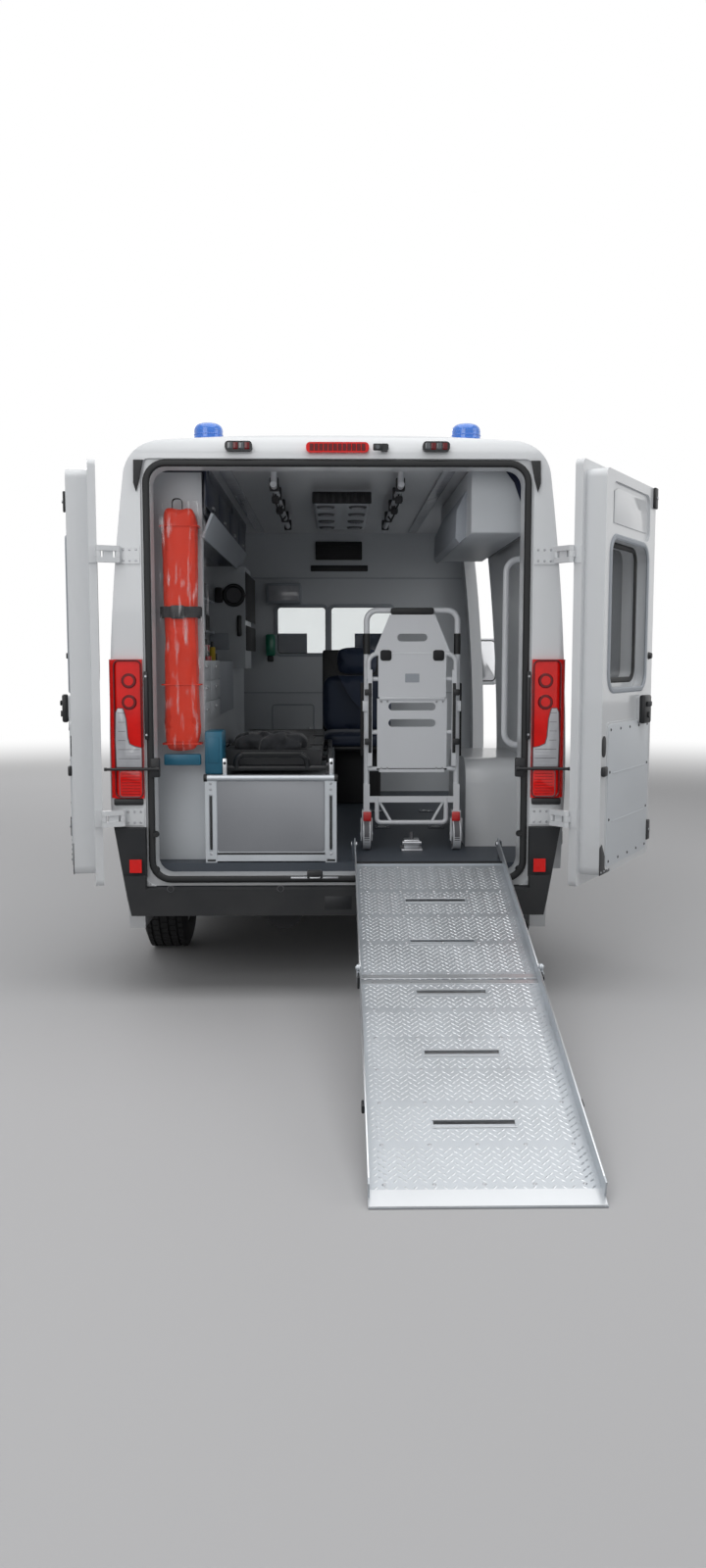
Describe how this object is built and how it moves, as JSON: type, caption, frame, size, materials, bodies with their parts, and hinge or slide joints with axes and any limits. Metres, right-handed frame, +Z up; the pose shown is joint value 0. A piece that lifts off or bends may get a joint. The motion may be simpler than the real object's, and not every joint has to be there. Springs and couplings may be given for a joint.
{
  "type": "ambulance van",
  "caption": "High-roof panel-van ambulance with rear doors and side door open, fitted patient space and a loading ramp down to the ground.",
  "frame": {"origin": "on the ground under the middle of the rear axle", "axes": "+Y forward, +X to the vehicle's right, +Z up"},
  "size_m": [2.9158, 7.518, 2.5959],
  "materials": {
    "white_paint": "gloss",
    "grey_plastic": "matt",
    "black_plastic": "matt",
    "clear_glass": "gloss",
    "dark_glass": "gloss",
    "lamp_red": "gloss",
    "lamp_clear": "gloss",
    "beacon_blue": "gloss",
    "steel": "satin",
    "rim_grey": "satin",
    "tyre_rubber": "matt",
    "aluminium": "satin",
    "lining_white": "satin",
    "floor_grey": "matt",
    "seat_blue": "matt",
    "bag_orange": "satin",
    "chair_white": "satin",
    "cast_iron": "matt"
  },
  "bodies": {
    "body": {"roof": "white_paint", "side_wall_left": "white_paint", "side_wall_right": "white_paint", "rear_frame": "white_paint", "floor": "floor_grey", "bulkhead": "lining_white", "bulkhead_glass": "clear_glass", "front_end": "white_paint", "front_bumper": "grey_plastic", "headlamps": "lamp_clear", "grille": "black_plastic", "front_glass": "clear_glass", "sliding_door": "white_paint", "sliding_glass": "dark_glass", "rear_bumper": "grey_plastic", "tail_lamps": "lamp_red", "brake_lamp": "lamp_red", "edge_lamps": "black_plastic", "beacons": "beacon_blue", "front_subframe": "cast_iron", "rear_axle": "cast_iron", "chassis": "cast_iron", "engine_block": "cast_iron", "dashboard": "grey_plastic", "cab_seats": "seat_blue", "left_cabinets": "lining_white", "overhead_lockers": "seat_blue", "stretcher_platform": "aluminium", "stretcher": "black_plastic", "stair_chair": "chair_white", "attendant_seat": "seat_blue", "rescue_bag": "bag_orange", "handrails": "chair_white", "ceiling_console": "lining_white"},
    "bonnet": {"bonnet": "white_paint"},
    "cab_door_left": {"cab_door_left": "white_paint", "cab_glass_left": "clear_glass"},
    "cab_door_right": {"cab_door_right": "white_paint", "cab_glass_right": "clear_glass"},
    "hinge_links_left": {"hinge_links_left": "white_paint"},
    "hinge_links_right": {"hinge_links_right": "white_paint"},
    "rear_door_left": {"rear_door_left": "white_paint", "rear_glass_left": "dark_glass"},
    "rear_door_right": {"rear_door_right": "white_paint", "rear_glass_right": "dark_glass"},
    "ramp_upper": {"ramp_upper": "aluminium"},
    "ramp_lower": {"ramp_lower": "aluminium"},
    "knuckle_left": {"knuckle_left": "cast_iron"},
    "knuckle_right": {"knuckle_right": "cast_iron"},
    "steering_wheel": {"steering_wheel": "black_plastic"},
    "wheel_front_left": {"rim_front_left": "rim_grey", "tyre_front_left": "tyre_rubber"},
    "wheel_front_right": {"rim_front_right": "rim_grey", "tyre_front_right": "tyre_rubber"},
    "wheel_rear_left": {"rim_rear_left": "rim_grey", "tyre_rear_left": "tyre_rubber"},
    "wheel_rear_right": {"rim_rear_right": "rim_grey", "tyre_rear_right": "tyre_rubber"}
  },
  "joints": [
    {"name": "steer_left", "type": "hinge", "parent": "body", "child": "knuckle_left", "pos_m": [-0.76, 3.45, 1], "axis": [0.1063, 0, 0.9943], "range_deg": [-35, 35]},
    {"name": "steer_right", "type": "hinge", "parent": "body", "child": "knuckle_right", "pos_m": [0.76, 3.45, 1], "axis": [-0.1063, 0, 0.9943], "range_deg": [-35, 35]},
    {"name": "steering_wheel_turn", "type": "hinge", "parent": "body", "child": "steering_wheel", "pos_m": [-0.45, 2.81, 1.15], "axis": [0, -0.9063, 0.4226], "range_deg": [-525, 525]},
    {"name": "wheel_front_left_spin", "type": "hinge", "parent": "knuckle_left", "child": "wheel_front_left", "pos_m": [-0.905, 3.45, 0.34], "axis": [1, 0, 0], "continuous": true},
    {"name": "wheel_front_right_spin", "type": "hinge", "parent": "knuckle_right", "child": "wheel_front_right", "pos_m": [0.905, 3.45, 0.34], "axis": [1, 0, 0], "continuous": true},
    {"name": "wheel_rear_left_spin", "type": "hinge", "parent": "body", "child": "wheel_rear_left", "pos_m": [-0.895, 0, 0.34], "axis": [1, 0, 0], "continuous": true},
    {"name": "wheel_rear_right_spin", "type": "hinge", "parent": "body", "child": "wheel_rear_right", "pos_m": [0.895, 0, 0.34], "axis": [1, 0, 0], "continuous": true},
    {"name": "bonnet_hinge", "type": "hinge", "parent": "body", "child": "bonnet", "pos_m": [0, 3.712, 1.322], "axis": [1, 0, 0], "range_deg": [0, 60]},
    {"name": "cab_door_left_hinge", "type": "hinge", "parent": "body", "child": "cab_door_left", "pos_m": [-1.034, 3.027, 1.2], "axis": [0, 0, -1], "range_deg": [0, 65]},
    {"name": "cab_door_right_hinge", "type": "hinge", "parent": "body", "child": "cab_door_right", "pos_m": [1.034, 3.027, 1.2], "axis": [0, 0, 1], "range_deg": [0, 65]},
    {"name": "hinge_links_left_swing", "type": "hinge", "parent": "body", "child": "hinge_links_left", "pos_m": [-0.96, -1.05, 1.41], "axis": [0, 0, -1], "range_deg": [-155, 12.5]},
    {"name": "rear_door_left_swing", "type": "hinge", "parent": "hinge_links_left", "child": "rear_door_left", "pos_m": [-1.03613, -1.0855, 1.41], "axis": [0, 0, 1], "range_deg": [0, 102.5]},
    {"name": "hinge_links_right_swing", "type": "hinge", "parent": "body", "child": "hinge_links_right", "pos_m": [0.96, -1.05, 1.41], "axis": [0, 0, 1], "range_deg": [-126, 10]},
    {"name": "rear_door_right_swing", "type": "hinge", "parent": "hinge_links_right", "child": "rear_door_right", "pos_m": [1.00937, -1.11796, 1.41], "axis": [0, 0, -1], "range_deg": [0, 114]},
    {"name": "ramp_hinge", "type": "hinge", "parent": "body", "child": "ramp_upper", "pos_m": [0.415, -0.82203, 0.67356], "axis": [1, 0, 0], "range_deg": [-97.7, 0]},
    {"name": "ramp_fold", "type": "hinge", "parent": "ramp_upper", "child": "ramp_lower", "pos_m": [0.415, -1.96037, 0.38494], "axis": [1, 0, 0], "range_deg": [-180, 0]}
  ],
  "couplings": [
    {"joint": "steer_right", "follows": "steer_left", "ratio": 1},
    {"joint": "steering_wheel_turn", "follows": "steer_left", "ratio": 15}
  ]
}
